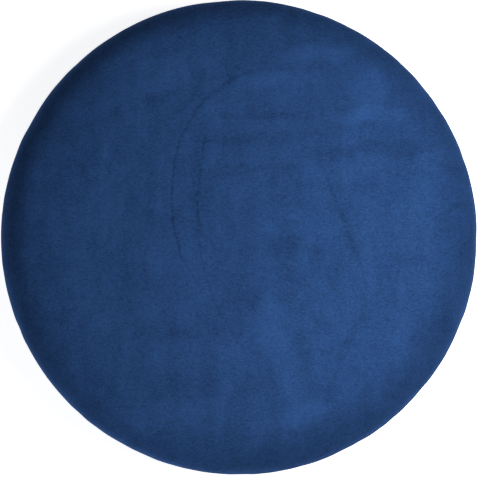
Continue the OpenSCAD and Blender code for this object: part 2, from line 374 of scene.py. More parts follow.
class Look:
    """A procedural material: a Principled shader and short ways to build its nodes."""

    def __init__(self, name, **constants):
        self.material = bpy.data.materials.new(name)
        self.material.use_nodes = True
        self.tree = self.material.node_tree
        self.tree.nodes.clear()
        self.shader = self.tree.nodes.new("ShaderNodeBsdfPrincipled")
        out = self.tree.nodes.new("ShaderNodeOutputMaterial")
        self.tree.links.new(self.shader.outputs["BSDF"], out.inputs["Surface"])
        for key, value in constants.items():
            self.shader.inputs[key.replace("_", " ")].default_value = value
        self.place = self.node("ShaderNodeTexCoord").outputs["Object"]

    def node(self, kind, inputs=None, **props):
        n = self.tree.nodes.new(kind)
        for key, value in props.items():
            setattr(n, key, value)
        for key, value in (inputs or {}).items():
            if isinstance(value, bpy.types.NodeSocket):
                self.tree.links.new(value, n.inputs[key])
            else:
                n.inputs[key].default_value = value
        return n

    def maths(self, operation, a, b=None, c=None):
        inputs = {i: v for i, v in enumerate((a, b, c)) if v is not None}
        return self.node("ShaderNodeMath", inputs, operation=operation).outputs[0]

    def mapped(self, scale=(1, 1, 1), turn=0.0, shift=(0, 0, 0), of=None, kind="POINT"):
        return self.node(
            "ShaderNodeMapping",
            {"Vector": of or self.place, "Scale": scale, "Rotation": (0, 0, turn), "Location": shift},
            vector_type=kind,
        ).outputs[0]

    def noise(self, scale, detail=2.0, rough=0.5, distortion=0.0, at=None):
        inputs = {"Vector": at or self.place, "Scale": scale, "Detail": detail, "Roughness": rough}
        inputs["Distortion"] = distortion
        return self.node("ShaderNodeTexNoise", inputs).outputs["Fac"]

    def blob(self, place):
        """1 at the middle of a mapped place, down to 0 at a distance of 1 from it."""
        inputs = {"Vector": place}
        return self.node("ShaderNodeTexGradient", inputs, gradient_type="SPHERICAL").outputs["Fac"]

    def vector_maths(self, operation, *vectors):
        """The number that a vector operation gives."""
        inputs = dict(enumerate(vectors))
        return self.node("ShaderNodeVectorMath", inputs, operation=operation).outputs["Value"]

    def drifted(self, scale, reach):
        """The place, moved about a little by two noises, so that marks have no ruled outline."""
        x = self.ranged(self.noise(scale, 3, 0.6), 0, 1, -reach, reach)
        y = self.ranged(self.noise(scale * 1.2, 3, 0.6), 0, 1, -reach, reach)
        move = self.node("ShaderNodeCombineXYZ", {"X": x, "Y": y}).outputs[0]
        return self.node("ShaderNodeVectorMath", {0: self.place, 1: move}, operation="ADD").outputs[0]

    def ranged(self, value, from_min, from_max, to_min, to_max):
        inputs = {"Value": value, "From Min": from_min, "From Max": from_max}
        inputs.update({"To Min": to_min, "To Max": to_max})
        return self.node("ShaderNodeMapRange", inputs).outputs["Result"]

    def spread(self, noise, to_min, to_max):
        """A noise, which mostly lies between 0.3 and 0.7, over a range."""
        return self.ranged(noise, 0.3, 0.7, to_min, to_max)

    def ramp(self, value, *stops):
        n = self.node("ShaderNodeValToRGB", {"Fac": value})
        e = n.color_ramp.elements
        while len(e) < len(stops):
            e.new(0.5)
        for i, (at, colour) in enumerate(stops):
            e[i].position, e[i].color = at, (*colour, 1)
        return n.outputs["Color"]

    def cylinder_coords(self):
        """Distance round the cushion and height, for a cloth that is wrapped round it."""
        parts = self.node("ShaderNodeSeparateXYZ", {"Vector": self.place}).outputs
        angle = self.maths("ARCTAN2", parts["Y"], parts["X"])
        return self.maths("MULTIPLY", angle, BAND_R), parts["Z"]

    def weave(self, u, v, pitch_u, pitch_v):
        """Height of a plain weave, 0 to 1, from two coordinates in metres."""
        a = self.maths("SINE", self.maths("MULTIPLY", u, TAU / pitch_u / 2))
        b = self.maths("SINE", self.maths("MULTIPLY", v, TAU / pitch_v / 2))
        return self.maths("MULTIPLY_ADD", self.maths("MULTIPLY", a, b), 0.5, 0.5)

    def colour(self, socket):
        self.tree.links.new(socket, self.shader.inputs["Base Color"])

    def roughness(self, socket):
        self.tree.links.new(socket, self.shader.inputs["Roughness"])

    def bump(self, *layers):
        """Layers of (height, strength, distance), the coarsest first."""
        normal = None
        for height, strength, distance in layers:
            inputs = {"Height": height, "Strength": strength, "Distance": distance}
            if normal is not None:
                inputs["Normal"] = normal
            normal = self.node("ShaderNodeBump", inputs).outputs["Normal"]
        self.tree.links.new(normal, self.shader.inputs["Normal"])


def times(colour, factor):
    return tuple(c * factor for c in colour)


NAVY = (0.0197, 0.0584, 0.1715)

# Brush marks in the pile: (x, y, turn in degrees, half length, half width, how much lighter). A mark
# fades out at LONG_FADE times its half length and WIDE_FADE times its half width.
LONG_FADE, WIDE_FADE, MARK_GAIN = 1.6, 1.4, 1.1
BRUSH_MARKS = [
    (0.118, 0.070, 3, 0.050, 0.006, -0.22),
    (0.144, 0.080, -20, 0.016, 0.009, -0.10),
    (0.000, 0.077, 2, 0.040, 0.005, -0.16),
    (0.018, 0.097, 0, 0.034, 0.004, -0.14),
    (0.000, 0.050, 5, 0.036, 0.005, -0.12),
    (0.035, 0.128, 6, 0.026, 0.006, 0.30),
    (0.030, 0.110, 0, 0.026, 0.006, 0.10),
    (0.034, 0.087, 0, 0.026, 0.006, 0.12),
    (0.069, 0.151, 8, 0.024, 0.008, 0.42),
    (0.109, 0.119, 70, 0.020, 0.014, 0.42),
    (0.108, 0.098, 5, 0.024, 0.007, 0.36),
    (0.094, 0.052, 6, 0.034, 0.010, 0.12),
    (0.157, 0.048, 60, 0.024, 0.016, 0.16),
    (-0.062, 0.136, 24, 0.040, 0.014, 0.26),
    (-0.090, 0.150, 35, 0.020, 0.012, 0.16),
    (-0.075, 0.108, 20, 0.030, 0.006, -0.12),
    (-0.030, 0.045, 85, 0.034, 0.009, -0.12),
    (0.038, -0.011, 0, 0.013, 0.011, -0.30),
    (0.061, -0.018, 0, 0.007, 0.007, -0.16),
    (-0.002, -0.057, 10, 0.016, 0.011, -0.08),
    (-0.062, -0.085, 4, 0.040, 0.005, -0.14),
    (-0.045, -0.129, 5, 0.020, 0.011, -0.24),
    (0.052, -0.095, 0, 0.008, 0.012, -0.14),
    (0.033, -0.100, -76, 0.042, 0.011, 0.28),
    (0.056, -0.150, 20, 0.016, 0.010, 0.30),
    (0.178, 0.021, 20, 0.012, 0.0035, -0.25),
    (-0.135, 0.020, 60, 0.045, 0.028, 0.10),
    (-0.120, -0.070, -45, 0.040, 0.014, 0.12),
    (-0.030, -0.155, 0, 0.060, 0.012, 0.12),
    (-0.020, -0.100, 0, 0.030, 0.010, 0.08),
    (0.088, 0.006, -70, 0.050, 0.0020, -0.21),
    (0.089, -0.096, 66, 0.030, 0.0028, -0.20),
]
# Fine lines that a finger leaves: arcs of an ellipse (x, y, radius in x, radius in y), kept near
# a point (x, y, reach), then the line's half width and how much lighter it is
BRUSH_LINES = [
    (0.026, 0.030, 0.082, 0.107, -0.038, 0.055, 0.118, 0.0021, -0.24),
    (0.0255, 0.020, 0.060, 0.123, -0.030, -0.005, 0.130, 0.0020, -0.19),
]
# Painted shade and highlight over the roll: share of the way up it, and the painted brightness divided by
# the gain after it. It paints the middle of the roll darker and the cloth below it lighter
ROLL_LOW, ROLL_TOP = 40 * MM, 76 * MM
ROLL_SHADE_AND_HIGHLIGHT = [(0.0, 0.92), (0.28, 0.88), (0.50, 0.68), (0.70, 0.66), (0.86, 0.74), (1.0, 0.8)]
ROLL_SHADE_GAIN = 1.25
# Painted shade: the roll is painted darker still towards one side, by this share.
SHADED_SIDE = (math.cos(math.radians(-40)), math.sin(math.radians(-40)), 0)
SIDE_SHADE_SHARE = -0.26
SHEEN = 0.06


def velvet(name, shade=1.0, marks=(), lines=()):
    look = Look(
        name, Roughness=0.95, Specular_IOR_Level=0.02, Sheen_Weight=SHEEN, Sheen_Roughness=0.3,
        Sheen_Tint=(0.12, 0.34, 1.0, 1),
    )
    drifted = look.drifted(34, 9 * MM)
    steady = look.drifted(30, 4 * MM)
    patches = look.noise(34, 5, 0.62, 0.8)
    streaks = look.noise(60, 4, 0.6, 0.6, at=look.mapped((1, 0.4, 1), 0.9))
    rows = look.noise(85, 2, 0.5, at=look.mapped((1, 0.07, 1), 0.05))
    grain = look.noise(560, 2, 0.6, 0.8, at=look.mapped((0.65, 1.2, 1), 0.2))
    fleck = look.noise(1250, 1, 0.5, 0.5, at=look.mapped((0.5, 1.3, 1), -0.35))
    level = look.spread(patches, -0.11, 0.11)
    for texture, reach in ((streaks, 0.07), (rows, 0.05), (grain, 0.19), (fleck, 0.19)):
        level = look.maths("ADD", level, look.spread(texture, -reach, reach))
    for x, y, turn, long, wide, amount in marks:
        place = look.mapped(
            (long * LONG_FADE, wide * WIDE_FADE, 0.5), math.radians(turn), (x, y, CUSHION_H),
            of=steady if wide < 3 * MM else drifted, kind="TEXTURE",
        )
        soft = look.maths("SMOOTH_MIN", look.blob(place), 0.6, 0.3)
        level = look.maths("MULTIPLY_ADD", soft, amount * MARK_GAIN, level)
    for x, y, rx, ry, near_x, near_y, reach, wide, amount in lines:
        scaled = look.mapped((rx, ry, 10), 0, (x, y, 0), of=steady, kind="TEXTURE")
        length = look.vector_maths("LENGTH", scaled)
        off = look.maths("ABSOLUTE", look.maths("SUBTRACT", length, 1.0))
        line = look.ranged(off, 0, wide * 2 / (rx + ry), 1, 0)
        place = look.mapped((reach, reach, 1), 0, (near_x, near_y, CUSHION_H), kind="TEXTURE")
        near = look.ranged(look.blob(place), 0, 0.35, 0, 1)
        level = look.maths("MULTIPLY_ADD", look.maths("MULTIPLY", line, near), amount, level)
    level = look.maths("ADD", level, 1.0)
    # Painted shade and highlight by height: the colour is painted darker across the middle of the roll and
    # lighter below it.
    height = look.node("ShaderNodeSeparateXYZ", {"Vector": look.place}).outputs["Z"]
    roll_shade = look.node("ShaderNodeFloatCurve", {"Value": look.ranged(height, ROLL_LOW, ROLL_TOP, 0, 1)})
    curve = roll_shade.mapping.curves[0]
    for _ in range(len(ROLL_SHADE_AND_HIGHLIGHT) - 2):
        curve.points.new(0.5, 0.5)
    for point, (at, value) in zip(curve.points, ROLL_SHADE_AND_HIGHLIGHT):
        point.location = (at, value)
    roll_shade.mapping.update()
    level = look.maths("MULTIPLY", level, look.maths("MULTIPLY", roll_shade.outputs[0], ROLL_SHADE_GAIN))
    # Painted shade: darker towards that side, over the outer ring of the top.
    flat = look.mapped((1, 1, 0))
    side_shade = look.vector_maths("DOT_PRODUCT", flat, SHADED_SIDE)
    radius = look.vector_maths("LENGTH", flat)
    side_shade = look.ranged(side_shade, 30 * MM, 160 * MM, 0, 1)
    side_shade = look.maths("MULTIPLY", side_shade, look.ranged(radius, 162 * MM, 184 * MM, 0, 1))
    level = look.maths("MULTIPLY", level, look.maths("MULTIPLY_ADD", side_shade, SIDE_SHADE_SHARE, 1.0))
    colour = look.node(
        "ShaderNodeVectorMath", {0: times(NAVY, shade), "Scale": level}, operation="SCALE",
    ).outputs[0]
    look.colour(colour)
    look.bump(
        (patches, 0.30, 4 * MM),
        (streaks, 0.20, 1.5 * MM),
        (grain, 0.35, 0.5 * MM),
        (fleck, 0.35, 0.25 * MM),
    )
    return look.material


VELVET = velvet("velvet pile", marks=BRUSH_MARKS, lines=BRUSH_LINES)
# The side band is the same velvet painted 0.9 times as dark: painted shade for the sides.
VELVET_SHADED_BAND = velvet("velvet pile, side band", 0.9)


def thread_look():
    look = Look("sewing thread", Roughness=0.55, Specular_IOR_Level=0.35)
    u, v = look.cylinder_coords()
    twist = look.maths(
        "SINE", look.maths("MULTIPLY", look.maths("ADD", u, look.maths("MULTIPLY", v, 0.9)), 9000),
    )
    tone = look.spread(look.noise(260, 3), 0, 1)
    look.colour(look.ramp(tone, (0.0, (0.010, 0.024, 0.062)), (1.0, (0.026, 0.056, 0.130))))
    look.bump((twist, 0.5, 0.08 * MM), (look.noise(3000, 2), 0.3, 0.04 * MM))
    return look.material


def tape_look():
    look = Look("woven zip tape", Roughness=0.8, Specular_IOR_Level=0.25)
    u, v = look.cylinder_coords()
    weave = look.weave(look.maths("ADD", u, v), v, 0.9 * MM, 0.55 * MM)
    tone = look.maths("MULTIPLY", weave, 0.6)
    tone = look.maths("ADD", tone, look.spread(look.noise(120, 3), 0, 0.4))
    look.colour(look.ramp(tone, (0.0, (0.006, 0.015, 0.040)), (1.0, (0.020, 0.045, 0.105))))
    look.roughness(look.ranged(weave, 0, 1, 0.9, 0.7))
    look.bump((weave, 0.6, 0.12 * MM), (look.noise(2500, 2), 0.3, 0.05 * MM))
    return look.material


def coil_look():
    look = Look("nylon coil", Specular_IOR_Level=0.5)
    tone = look.spread(look.noise(90, 4, 0.6), 0, 1)
    look.colour(look.ramp(tone, (0.0, (0.010, 0.026, 0.068)), (1.0, (0.020, 0.046, 0.110))))
    look.roughness(look.spread(look.noise(700, 3), 0.26, 0.46))
    look.bump((look.noise(1800, 3), 0.2, 0.05 * MM))
    return look.material


def metal_look(name, dark, light, turn):
    look = Look(name, Metallic=1.0)
    worn = look.noise(220, 5, 0.6)
    drawn = look.noise(900, 3, 0.5, at=look.mapped((1, 1, 0.06), turn))
    tone = look.maths("ADD", look.maths("MULTIPLY", worn, 0.7), look.maths("MULTIPLY", drawn, 0.3))
    look.colour(look.ramp(tone, (0.25, dark), (0.75, light)))
    look.roughness(look.spread(worn, 0.22, 0.42))
    look.bump((drawn, 0.15, 0.05 * MM), (look.noise(1500, 4, 0.6), 0.15, 0.03 * MM))
    return look.material


def cloth_look(name, dark, light, pitch, roughness=0.9, slub=0.5):
    """A plain woven cloth that lies flat or is cut from the flat."""
    look = Look(name, Specular_IOR_Level=0.2)
    parts = look.node("ShaderNodeSeparateXYZ", {"Vector": look.place}).outputs
    weave = look.weave(parts["X"], parts["Y"], pitch, pitch)
    uneven = look.noise(60, 4, 0.6, at=look.mapped((1, 0.12, 1)))
    across = look.noise(60, 4, 0.6, at=look.mapped((0.12, 1, 1)))
    tone = look.maths("MULTIPLY", weave, 0.4)
    for slubs in (uneven, across):
        tone = look.maths("ADD", tone, look.spread(slubs, 0, slub * 0.6))
    look.colour(look.ramp(tone, (0.05, dark), (0.95, light)))
    look.roughness(look.ranged(weave, 0, 1, roughness, roughness - 0.15))
    look.bump((uneven, 0.15, 0.3 * MM), (weave, 0.5, 0.15 * MM), (look.noise(2500, 2), 0.2, 0.05 * MM))
    return look.material


def dot_look():
    look = Look("anti-slip dots", Specular_IOR_Level=0.4)
    tone = look.noise(300, 3)
    look.colour(look.ramp(tone, (0.3, (0.010, 0.012, 0.018)), (0.7, (0.022, 0.024, 0.032))))
    look.roughness(look.spread(look.noise(900, 3), 0.42, 0.62))
    look.bump((look.noise(1400, 3), 0.25, 0.06 * MM))
    return look.material


def fibre_look():
    look = Look(
        "polyester wadding", Roughness=0.95, Specular_IOR_Level=0.2, Sheen_Weight=0.3, Sheen_Roughness=0.6,
    )
    tangle = look.noise(140, 6, 0.7, 1.5)
    fibres = look.noise(700, 4, 0.7, 2.0)
    tone = look.maths("ADD", look.maths("MULTIPLY", tangle, 0.6), look.maths("MULTIPLY", fibres, 0.4))
    look.colour(look.ramp(tone, (0.3, (0.68, 0.69, 0.71)), (0.7, (0.90, 0.90, 0.92))))
    look.bump((tangle, 0.5, 1.2 * MM), (fibres, 0.5, 0.4 * MM))
    return look.material


def foam_look(name, dark, light, cells):
    look = Look(name, Roughness=0.88, Specular_IOR_Level=0.25)
    cell, big = (
        look.node(
            "ShaderNodeTexVoronoi", {"Vector": look.place, "Scale": scale}, feature="F1",
        ).outputs["Distance"]
        for scale in (cells, cells * 0.35)
    )
    tone = look.maths("MULTIPLY", cell, 0.6)
    tone = look.maths("ADD", tone, look.spread(look.noise(25, 3), 0, 0.5))
    look.colour(look.ramp(tone, (0.1, dark), (0.9, light)))
    look.bump((big, 0.3, 0.5 * MM), (cell, 0.5, 0.3 * MM))
    return look.material


THREAD = thread_look()
TAPE = tape_look()
COIL = coil_look()
METAL = metal_look("nickel plated zinc", (0.24, 0.24, 0.25), (0.46, 0.46, 0.47), 0.2)
STOP_METAL = metal_look("pressed aluminium stop", (0.28, 0.29, 0.30), (0.50, 0.50, 0.51), 0.0)
ANTISLIP = cloth_look("anti-slip base cloth", (0.012, 0.014, 0.022), (0.032, 0.036, 0.050), 0.9 * MM)
DOTS = dot_look()
CALICO = cloth_look("calico liner", (0.66, 0.63, 0.55), (0.84, 0.82, 0.75), 0.8 * MM)
LABEL = cloth_look("satin label", (0.74, 0.74, 0.72), (0.90, 0.90, 0.88), 0.3 * MM, 0.55, 0.15)
FIBRE = fibre_look()
SOFT_FOAM = foam_look("soft foam", (0.62, 0.56, 0.34), (0.86, 0.81, 0.58), 900)
FIRM_FOAM = foam_look("firm foam", (0.36, 0.48, 0.56), (0.60, 0.72, 0.80), 1200)

# ---------------- velvet top

# Sewn edges reach this far past their seam line, so that they press into each other.
PRESS = 0.18 * MM
TOP_LOW = SEAM_Z - PRESS + VELVET_T / 2
top_row = join(crown(0, 200), edge(0, CROWN_END, edge_at_z(0, TOP_LOW), 160))
TOP_S = np.cumsum(np.linalg.norm(np.diff(top_row, axis=0), axis=1))[-1]


def on_top(s):
    """Point (r, z) and normal of the top's outline at a distance s from the middle, along the cloth."""
    crown_s = CROWN_R * (math.pi / 2 - CROWN_END)
    t = np.clip(s / crown_s, 0, 1) * (math.pi / 2 - CROWN_END)
    a = math.pi / 2 - t
    over = np.clip(s - crown_s, 0, None) / EDGE_R
    b = CROWN_END - over
    flat = s <= crown_s
    point = np.where(
        flat[:, None], np.c_[CROWN_R * np.cos(a), CROWN_C[1] + CROWN_R * np.sin(a)],
        np.c_[EDGE_C[0] + EDGE_R * np.cos(b), EDGE_C[1] + EDGE_R * np.sin(b)],
    )
    normal = np.where(flat[:, None], np.c_[np.cos(a), np.sin(a)], np.c_[np.cos(b), np.sin(b)])
    return point, normal


CORE = 64
ring_s = np.r_[np.linspace(0.5 * TOP_S, TOP_S - 9 * MM, 32), np.linspace(TOP_S - 9 * MM, TOP_S, 8)[1:]]
flat_xy, top_faces, rim = disc_grid(CORE, ring_s)
flat_s, top_angle = polar(flat_xy)
top_point, top_normal = on_top(flat_s)
turn = np.c_[np.cos(top_angle), np.sin(top_angle)]
top_outer = np.c_[turn * top_point[:, :1], top_point[:, 1]]
top_out = np.c_[turn * top_normal[:, :1], top_normal[:, 1]]
to_seam = TOP_S - flat_s

# The most that the cloth may move in its simulation, and what is kept of the puffs at the most
CLOTH_CAP = 5 * MM
KEPT = 0.35 * MM


def puff(points, faces, out, held):
    """How far pressure under the cloth, held round its rim, moves each point along its normal."""
    mesh = bpy.data.meshes.new("cloth")
    mesh.from_pydata(points.tolist(), [], faces)
    cloth = bpy.data.objects.new("cloth", mesh)
    scene.collection.objects.link(cloth)
    group = cloth.vertex_groups.new(name="sewn")
    group.add([int(i) for i in held], 1.0, "REPLACE")
    settings = cloth.modifiers.new("cloth", "CLOTH").settings
    settings.vertex_group_mass = "sewn"
    settings.quality = 5
    settings.mass = 0.3
    settings.tension_stiffness = settings.compression_stiffness = 30
    settings.shear_stiffness = 12
    settings.bending_stiffness = 2
    settings.use_pressure = True
    settings.uniform_pressure_force = 4
    settings.effector_weights.gravity = 0
    scene.frame_start, scene.frame_end = 1, 20
    for f in range(1, 21):
        scene.frame_set(f)
    done = cloth.evaluated_get(bpy.context.evaluated_depsgraph_get())
    moved = np.zeros(len(points) * 3, np.float32)
    done.data.vertices.foreach_get("co", moved)
    bpy.data.objects.remove(cloth)
    scene.frame_set(1)
    shift = moved.reshape(-1, 3) - points
    length = np.linalg.norm(shift, axis=1)
    shift *= (np.minimum(length, CLOTH_CAP) / np.maximum(length, 1e-9))[:, None]
    return (shift * out).sum(1)


lumps = ripple(top_outer, 70 * MM, 3) * 0.9 * MM + ripple(top_outer, 26 * MM, 4) * 0.25 * MM
lumps *= smooth(to_seam, 1 * MM, 25 * MM)
rise = lumps.copy()
rise += puff(top_outer + top_out * lumps[:, None], top_faces, top_out, np.nonzero(to_seam < 4 * MM)[0])
# Only the unevenness is kept, and not the even swelling, which would move the outline.
rise -= np.polyval(np.polyfit(flat_s, rise, 6), flat_s)
rise = KEPT * np.tanh(rise / (1.2 * MM)) + KEPT
rise *= smooth(to_seam, 0.5 * MM, 20 * MM)
# The seam gathers the cloth a little between its stitches.
FADE = 0.15
gather = ripple(np.c_[top_angle * BAND_R, np.zeros_like(top_angle)], 17 * MM, 8)
# It fades out where the angle wraps round from pi to -pi.
to_wrap = math.pi - abs(top_angle)
gather = np.where(to_wrap < FADE, gather * smooth(to_wrap, 0, FADE), gather)
rise += 0.22 * MM * gather * smooth(to_seam, 0, 3 * MM) * (1 - smooth(to_seam, 5 * MM, 26 * MM))

top_outer = top_outer + top_out * rise[:, None]
top_inner = top_outer - top_out * VELVET_T
normal = top_out[rim]
way = np.c_[turn[rim] * top_normal[rim][:, 1:], -top_normal[rim][:, :1]]
verts, faces = two_layered(top_outer, top_inner, top_faces, rim, VELVET_T, normal, way)
cover_top = new_piece("cover_top", verts, faces, VELVET, levels=1)
stands_for(cover_top, "velvet", "velvet_top_panel")

# ---------------- side band and zip strips


def drawn_in(verts):
    """The band swells a little between its seams, and is drawn in along them."""
    r, a = polar(verts)
    z = verts[:, 2]
    swell = np.sin(np.clip((z - 2 * MM) / (SEAM_Z - 2 * MM), 0, 1) * math.pi) * 0.5 * MM
    around_xy = np.c_[np.cos(a), np.sin(a), np.zeros_like(a)] * BAND_R
    top = smooth(z, SEAM_Z - 12 * MM, SEAM_Z - 2 * MM)
    creases = ripple(around_xy, 15 * MM, 11) * 0.22 * MM * top + ripple(around_xy, 60 * MM, 12) * 0.25 * MM
    on_side = smooth(r, BAND_IN - 4 * MM, BAND_IN)
    move = (swell + creases * smooth(z, 2 * MM, 8 * MM)) * on_side
    return verts * np.c_[1 + move / r, 1 + move / r, np.ones_like(r)]


def band_rows(top):
    """Outer and inner rows of the turned-under band, from a height down to the base seam."""
    half = VELVET_T / 2
    hem = BASE_R - PRESS + half
    steps = max(3, int((top - half - FOOT_R) / (1.6 * MM)))
    side = np.linspace(top - half, FOOT_R, steps + 1)[:-1]
    flat = np.linspace(BAND_R - FOOT_R, hem, 4)[1:]
    outer = join(upright(BAND_R, side), foot(BAND_R, 0, FOOT_R), np.c_[flat, np.zeros_like(flat)])
    inner = join(
        upright(BAND_IN, side), foot(BAND_IN, VELVET_T, FOOT_R - VELVET_T),
        np.c_[flat, np.full_like(flat, VELVET_T)],
    )
    return outer, inner


def angles_between(start, end, step=3 * MM):
    return np.linspace(start, end, int(abs(end - start) * BAND_R / step) + 1)


BUTT = -PRESS / BAND_R
FRONT = angles_between(ZIP_TO + BUTT, ZIP_FROM + TAU - BUTT)
BACK = angles_between(ZIP_FROM + BUTT, ZIP_TO - BUTT)
front_band = shell("cover_front_band", *band_rows(SEAM_Z + PRESS), FRONT, VELVET_SHADED_BAND, drawn_in)
stands_for(front_band, "velvet", "velvet_front_band")

strip_lower = shell("cover_zip_strip_lower", *band_rows(ZIP_Z - SLOT), BACK, VELVET_SHADED_BAND)
stands_for(strip_lower, "velvet", "velvet_zip_strip_lower")

half = VELVET_T / 2
rows = np.linspace(SEAM_Z + PRESS - half, ZIP_Z + SLOT + half, 5)
strip_upper = shell(
    "cover_zip_strip_upper", upright(BAND_R, rows), upright(BAND_IN, rows), BACK, VELVET_SHADED_BAND,
)
stands_for(strip_upper, "velvet", "velvet_zip_strip_upper")

# ---------------- base

CLOTH_LOW = 0.4 * MM
base_r = BASE_R + PRESS
thick = VELVET_T - CLOTH_LOW
base_xy, base_faces, base_rim = disc_grid(32, np.linspace(base_r * 0.5, base_r - thick / 2, 24))
base_s, base_angle = polar(base_xy)
wave = (ripple(base_xy, 90 * MM, 21) * 0.10 + 0.15) * MM * smooth(base_r - base_s, 0, 25 * MM)
wave = np.clip(wave, 0, 0.4 * MM)
bottom = np.c_[base_xy, CLOTH_LOW + wave]
upper = np.c_[base_xy, np.full(len(base_xy), VELVET_T)]
way = np.c_[np.cos(base_angle[base_rim]), np.sin(base_angle[base_rim]), np.zeros(len(base_rim))]
faces = [f[::-1] for f in base_faces]
verts, faces = two_layered(bottom, upper, faces, base_rim, thick, np.array([0, 0, -1]), way)
indexes = [0] * len(faces)

# Rubbery dots, in rows that are set off by half a pitch
PITCH = 9 * MM
SIDES = 10
dot_a = np.arange(SIDES) * TAU / SIDES
DOT_RINGS = [(1.3 * MM, 0.95 * MM), (1.25 * MM, 0.22 * MM), (0.75 * MM, 0.0)]
verts = verts.tolist()
for j in range(-24, 25):
    for i in range(-24, 25):
        x, y = (i + (j % 2) / 2) * PITCH, j * PITCH * math.sqrt(3) / 2
        if math.hypot(x, y) > base_r - 6 * MM:
            continue
        start = len(verts)
        for r, z in DOT_RINGS:
            verts += np.c_[x + r * np.cos(dot_a), y + r * np.sin(dot_a), np.full(SIDES, z)].tolist()
        faces += tube_faces(len(DOT_RINGS), SIDES, start)
        indexes += [1] * (len(faces) - len(indexes))
cover_base = new_piece("cover_base", verts, faces, [ANTISLIP, DOTS], indexes=indexes)
stands_for(cover_base, "antislip_cloth", "base_panel")

# ---------------- stitches


def spaced(start, end, pitch, radius):
    count = int(abs(end - start) * radius / pitch)
    return start + (np.arange(count) + 0.5) * (end - start) / count


# Seams: slanted bites of thread across the groove.
STITCH_R = 0.24 * MM
STITCH_PITCH = 3.2 * MM
BITE = 0.75 * MM
t = np.linspace(-1, 1, 7)[None]
angle = spaced(0, TAU, STITCH_PITCH, BAND_R)[:, None] + t * BITE / BAND_R
radius = BAND_R - 0.15 * MM - STITCH_R - 0.55 * MM * t**2
path = around(radius, angle, SEAM_Z + t * 0.62 * MM)
seam_stitches = tubes("seam_stitches_top", path, STITCH_R, outward(angle), THREAD)
stands_for(seam_stitches, "sewing_thread", "top_seam_thread")

angle = spaced(0, TAU, STITCH_PITCH, BASE_R)[:, None] + t * BITE / BASE_R
path = around(BASE_R + t * 0.60 * MM, angle, 0.15 * MM + STITCH_R + 0.55 * MM * t**2)
down = np.broadcast_to([0.0, 0.0, -1.0], path.shape)
base_stitches = tubes("seam_stitches_base", path, STITCH_R, down, THREAD)
stands_for(base_stitches, "sewing_thread", "base_seam_thread")

# Rows along the zip: long flat stitches that dip into the cloth at their ends.
for word in ("upper", "lower"):
    node = "zip_stitching_" + word
    middle = (low(node).z + high(node).z) / 2
    at = spaced(ZIP_FROM + 1.5 * MM / BAND_R, ZIP_TO - 1.5 * MM / BAND_R, 3 * MM, BAND_R)
    t = np.linspace(-1, 1, 9)[None]
    angle = at[:, None] + t * 1.25 * MM / BAND_R
    path = around(BAND_R + 0.05 * MM - 0.5 * MM * abs(t) ** 4, angle, middle + 0.06 * MM * t)
    row = tubes("zip_stitches_" + word, path, 0.23 * MM, outward(angle), THREAD)
    stands_for(row, "sewing_thread", node)

# ---------------- zip

WIRE = 0.33 * MM
COIL_PITCH = 1.35 * MM
HEADS = 0.31 * MM
TAPE_T, TAPE_EDGE, COIL_H = 0.6 * MM, 0.33 * MM, 2.0 * MM
# Where the coils end and where the top stops sit, as turns about Z
CHAIN_FROM, CHAIN_TO = math.radians(10.31), math.radians(169.22)
TOP_STOP = math.radians(9.958)
for side, word in ((1, "upper"), (-1, "lower")):
    node = "zip_tape_" + word
    z_in, z_out = ZIP_Z + side * TAPE_EDGE, high(node).z if side > 0 else low(node).z
    rows = np.linspace(z_out - side * 0.3 * MM, z_in + side * 0.3 * MM, 7)
    rows = rows if side > 0 else rows[::-1]
    tail = 10 * MM / BAND_R
    tape = shell(
        "zip_tape_" + word + "_cloth", upright(BAND_IN - 0.03 * MM, rows),
        upright(BAND_IN - TAPE_T + 0.03 * MM, rows), angles_between(ZIP_FROM - tail, ZIP_TO + tail), TAPE,
    )
    stands_for(tape, "zip_tape", node)

    node = "zip_coil_" + word
    turns = int((CHAIN_TO - CHAIN_FROM) * BAND_R / COIL_PITCH) - 1
    t = np.arange(turns * 12 + 1) / 12
    angle = CHAIN_FROM + (t + 0.5 + (0.25 if side > 0 else -0.25)) * COIL_PITCH / BAND_R
    z_near, z_far = HEADS + WIRE, 2.3 * MM - WIRE
    z_c, z_h = (z_near + z_far) / 2, (z_far - z_near) / 2
    r_c, r_h = BAND_IN + COIL_H / 2, COIL_H / 2 - WIRE
    s, c = np.sin(TAU * t), np.cos(TAU * t)
    # Each loop is squarish.
    z = ZIP_Z + side * (z_c - z_h * np.sign(c) * abs(c) ** 0.7)
    radius = r_c + r_h * np.sign(s) * abs(s) ** 0.8
    path = around(radius, angle, z)[None]
    coil = tubes("zip_coil_" + word + "_wire", path, WIRE, outward(angle)[None], COIL)
    stands_for(coil, "zip_coil", node)
    cord_a = angles_between(CHAIN_FROM + 0.3 * MM / BAND_R, CHAIN_TO - 0.3 * MM / BAND_R)
    cord = tubes(
        "zip_core_cord_" + word, around(r_c, cord_a, ZIP_Z + side * z_c)[None], 0.28 * MM,
        outward(cord_a)[None], THREAD,
    )


def to_band(points, at, z=ZIP_Z):
    """Local (out from the axis, along the zip, up) to the row frame, at an angle."""
    c, s = math.cos(at), math.sin(at)
    p = np.asarray(points, float)
    return np.c_[p[:, 0] * c - p[:, 1] * s, p[:, 0] * s + p[:, 1] * c, p[:, 2] + z]


